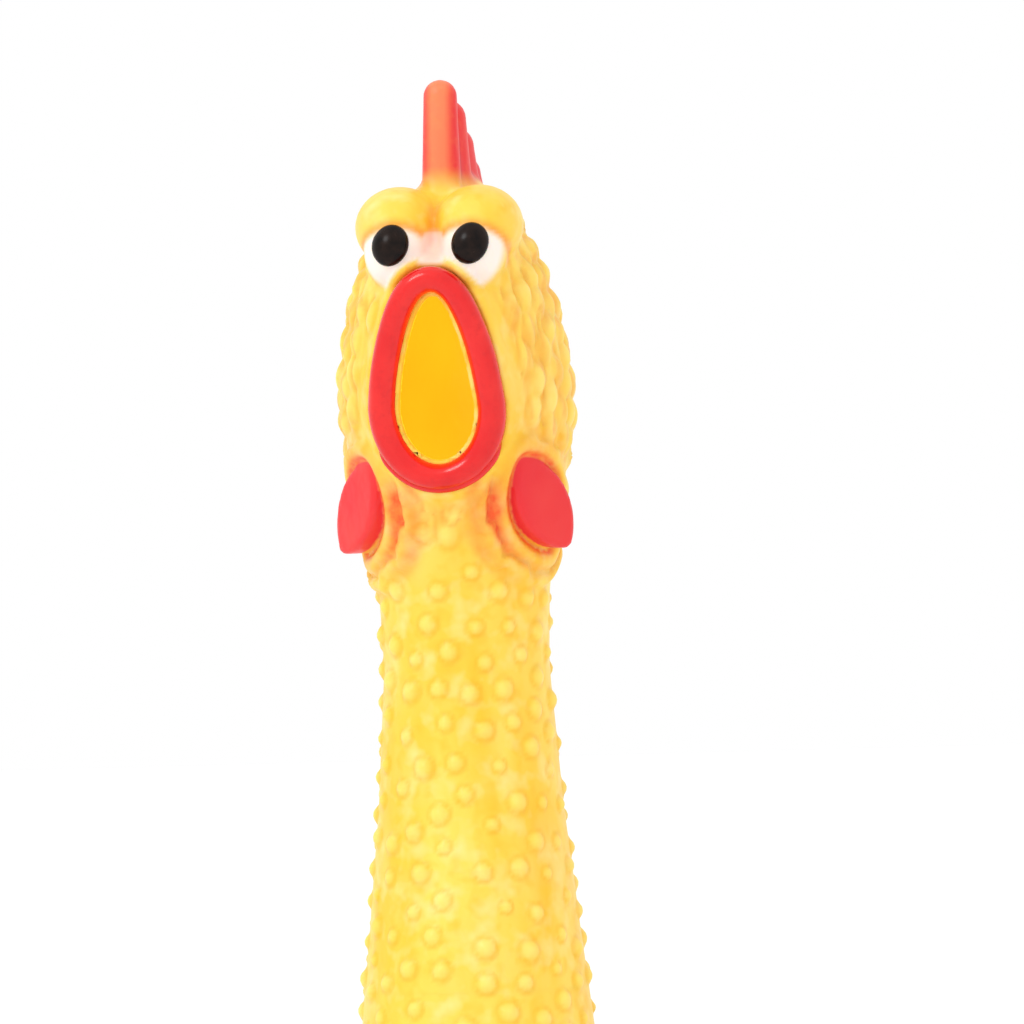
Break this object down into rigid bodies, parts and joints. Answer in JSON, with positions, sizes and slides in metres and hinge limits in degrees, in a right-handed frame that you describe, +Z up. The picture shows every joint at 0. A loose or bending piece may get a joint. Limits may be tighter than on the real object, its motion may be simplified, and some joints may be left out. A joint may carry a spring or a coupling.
{
  "type": "rubber chicken",
  "caption": "Tall hollow squeeze-toy chicken with an open egg-shaped mouth, bending neck, flopping comb, folding wings and legs, and a reed voice unit in its throat.",
  "frame": {"origin": "centre line of the trunk at the height where a hand closes round the body", "axes": "+Z up from feet to comb, face towards -Y, the toy's own left is +X"},
  "size_m": [0.058, 0.0483, 0.31],
  "materials": {
    "skin_yellow": "soft satin vinyl, pimpled",
    "feet_orange": "satin vinyl, painted orange",
    "lip_red": "gloss paint on vinyl",
    "comb_red": "satin paint on vinyl",
    "wattle_red": "satin paint on vinyl",
    "eye_white": "satin paint on vinyl",
    "pupil_black": "gloss paint",
    "voice_white": "moulded",
    "seat_plastic": "moulded",
    "reed_film": "thin film"
  },
  "bodies": {
    "torso": {"torso_skin": "skin_yellow", "left_thigh": "skin_yellow", "right_thigh": "skin_yellow", "neck_low_bend": "skin_yellow", "left_wing_root": "skin_yellow", "right_wing_root": "skin_yellow", "left_knee": "skin_yellow", "right_knee": "skin_yellow"},
    "belly": {"belly_panel": "skin_yellow"},
    "back": {"back_panel": "skin_yellow"},
    "neck_low": {"neck_low": "skin_yellow", "neck_mid_bend": "skin_yellow"},
    "neck_mid": {"neck_mid": "skin_yellow", "neck_top_bend": "skin_yellow"},
    "head": {"head_skin": "skin_yellow", "lips": "lip_red", "left_eye": "eye_white", "right_eye": "eye_white", "left_pupil": "pupil_black", "right_pupil": "pupil_black", "comb_root": "comb_red", "left_wattle": "wattle_red", "right_wattle": "wattle_red", "voice_housing": "voice_white", "voice_cover": "voice_white", "reed_seat": "seat_plastic", "reed_wedge": "seat_plastic"},
    "comb": {"comb": "comb_red"},
    "reed": {"reed": "reed_film"},
    "left_wing": {"left_wing": "skin_yellow"},
    "right_wing": {"right_wing": "skin_yellow"},
    "left_shank": {"left_shank": "skin_yellow", "left_ankle": "skin_yellow"},
    "right_shank": {"right_shank": "skin_yellow", "right_ankle": "skin_yellow"},
    "left_foot": {"left_foot": "feet_orange"},
    "right_foot": {"right_foot": "feet_orange"}
  },
  "joints": [
    {"name": "neck_low_nod", "type": "hinge", "parent": "torso", "child": "neck_low", "pos_m": [0, 0, 0.04], "axis": [1, 0, 0], "range_deg": [-25, 35], "stiffness_Nm_per_rad": 0.5, "deforming": ["neck_low_bend"]},
    {"name": "neck_sway", "type": "hinge", "parent": "neck_low", "child": "neck_mid", "pos_m": [0, 0, 0.058], "axis": [0, 1, 0], "range_deg": [-25, 25], "stiffness_Nm_per_rad": 0.4, "deforming": ["neck_mid_bend"]},
    {"name": "head_nod", "type": "hinge", "parent": "neck_mid", "child": "head", "pos_m": [0, 0, 0.076], "axis": [1, 0, 0], "range_deg": [-20, 30], "stiffness_Nm_per_rad": 0.3, "deforming": ["neck_top_bend"]},
    {"name": "comb_flop", "type": "hinge", "parent": "head", "child": "comb", "pos_m": [0, 0, 0.1695], "axis": [0, 1, 0], "range_deg": [-25, 25], "stiffness_Nm_per_rad": 0.02, "deforming": ["comb_root"]},
    {"name": "reed_flutter", "type": "hinge", "parent": "head", "child": "reed", "pos_m": [0, -0.00063, 0.097], "axis": [1, 0, 0], "range_deg": [-2.5, 2.5], "stiffness_Nm_per_rad": 0.001},
    {"name": "belly_squeeze", "type": "slide", "parent": "torso", "child": "belly", "axis": [0, 1, 0], "range_m": [0, 0.009], "stiffness_N_per_m": 400},
    {"name": "back_squeeze", "type": "slide", "parent": "torso", "child": "back", "axis": [0, -1, 0], "range_m": [0, 0.009], "stiffness_N_per_m": 400},
    {"name": "left_wing_lift", "type": "hinge", "parent": "torso", "child": "left_wing", "pos_m": [0.0225, 0.001, 0.023], "axis": [0, -1, 0], "range_deg": [0, 40], "stiffness_Nm_per_rad": 0.03, "deforming": ["left_wing_root"]},
    {"name": "left_knee_bend", "type": "hinge", "parent": "torso", "child": "left_shank", "pos_m": [0.0115, 0, -0.06], "axis": [1, 0, 0], "range_deg": [-30, 45], "stiffness_Nm_per_rad": 0.05, "deforming": ["left_knee"]},
    {"name": "left_ankle_bend", "type": "hinge", "parent": "left_shank", "child": "left_foot", "pos_m": [0.0115, 0, -0.1], "axis": [1, 0, 0], "range_deg": [-25, 35], "stiffness_Nm_per_rad": 0.03, "deforming": ["left_ankle"]},
    {"name": "right_wing_lift", "type": "hinge", "parent": "torso", "child": "right_wing", "pos_m": [-0.0225, 0.001, 0.023], "axis": [0, 1, 0], "range_deg": [0, 40], "stiffness_Nm_per_rad": 0.03, "deforming": ["right_wing_root"]},
    {"name": "right_knee_bend", "type": "hinge", "parent": "torso", "child": "right_shank", "pos_m": [-0.0115, 0, -0.06], "axis": [1, 0, 0], "range_deg": [-30, 45], "stiffness_Nm_per_rad": 0.05, "deforming": ["right_knee"]},
    {"name": "right_ankle_bend", "type": "hinge", "parent": "right_shank", "child": "right_foot", "pos_m": [-0.0115, 0, -0.1], "axis": [1, 0, 0], "range_deg": [-25, 35], "stiffness_Nm_per_rad": 0.03, "deforming": ["right_ankle"]}
  ],
  "couplings": [
    {"joint": "back_squeeze", "follows": "belly_squeeze", "ratio": 1}
  ]
}
